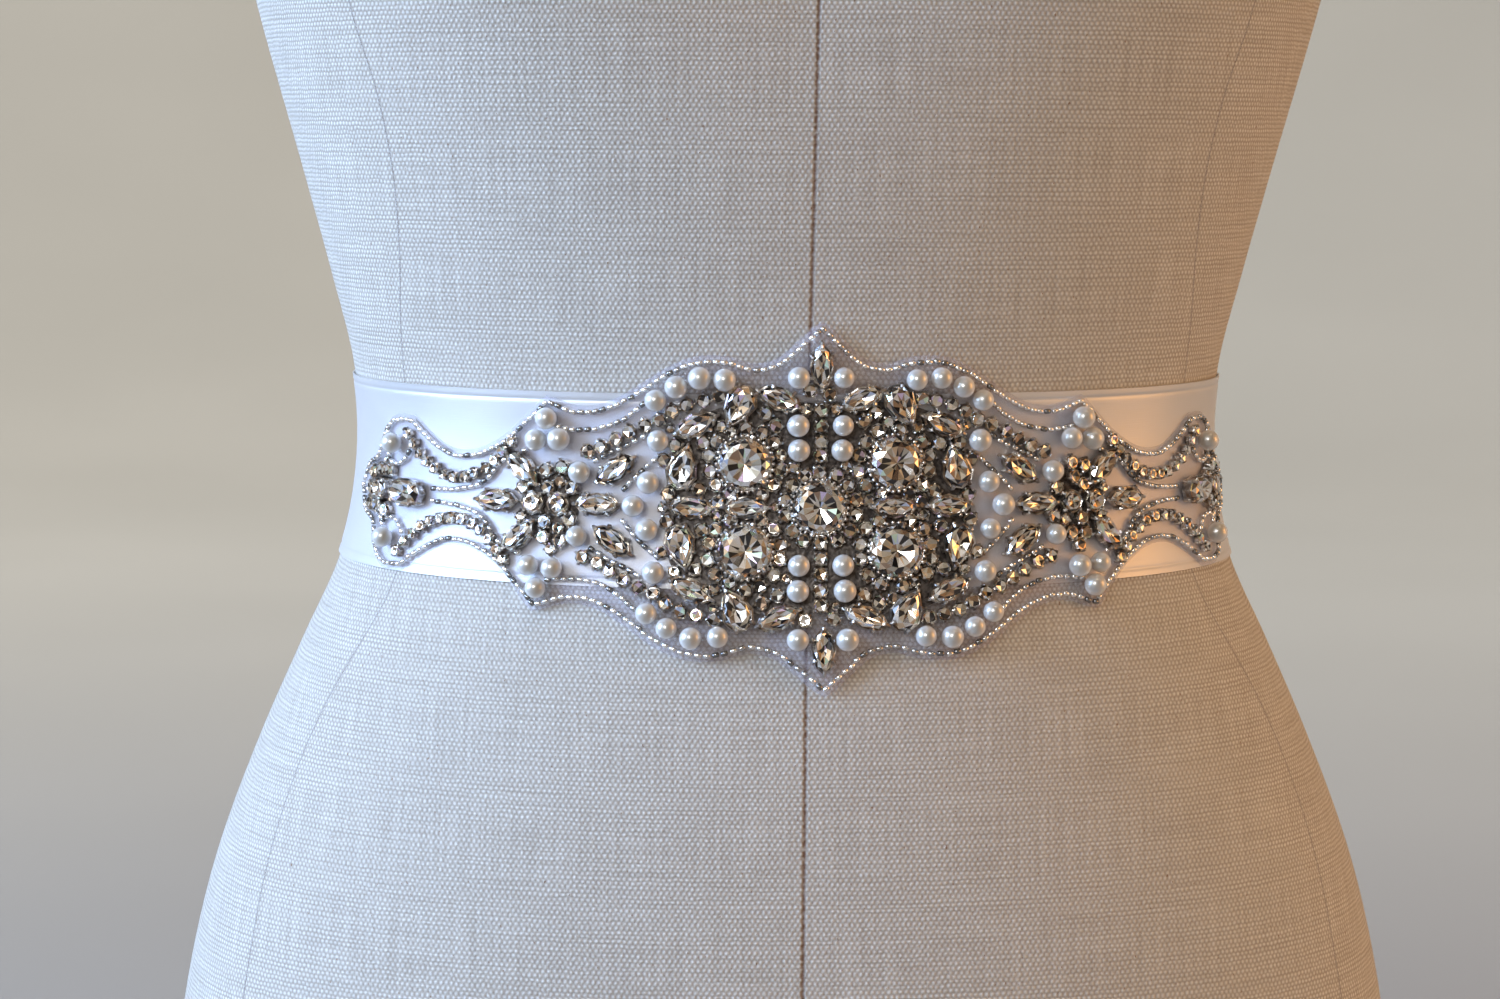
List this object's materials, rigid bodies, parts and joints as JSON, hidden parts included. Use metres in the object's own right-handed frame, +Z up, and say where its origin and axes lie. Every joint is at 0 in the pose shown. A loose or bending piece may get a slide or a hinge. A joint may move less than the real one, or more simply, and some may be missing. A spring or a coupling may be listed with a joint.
{
  "type": "bridal sash on a dress form",
  "caption": "White satin ribbon sash tied round a limbless linen dress form, with a shaped applique of pearls and clear stones on net at its front.",
  "frame": {"origin": "centre of the dress form's flat base", "axes": "+Z up, the front with the applique faces -Y, +X is the viewer's right of it"},
  "size_m": [0.3574, 0.2447, 0.718],
  "materials": {
    "form_linen": "natural linen canvas, plain weave, matte",
    "ribbon_satin": "white double-faced satin ribbon, soft sheen",
    "applique_net": "fine lilac-grey net",
    "stone_glass": "clear faceted glass stones with foiled backs",
    "setting_metal": "silver-coloured claw settings, slightly dulled",
    "pearl_bead": "cream-white pearl beads, lustrous",
    "seed_bead": "silver-lined seed and bugle beads",
    "seam_thread": "seam and sewing thread"
  },
  "bodies": {
    "root": {"form_body": "form_linen", "sash_band": "ribbon_satin", "sash_knot": "ribbon_satin", "sash_tail_left": "ribbon_satin", "sash_tail_right": "ribbon_satin", "applique": "applique_net"}
  },
  "joints": []
}
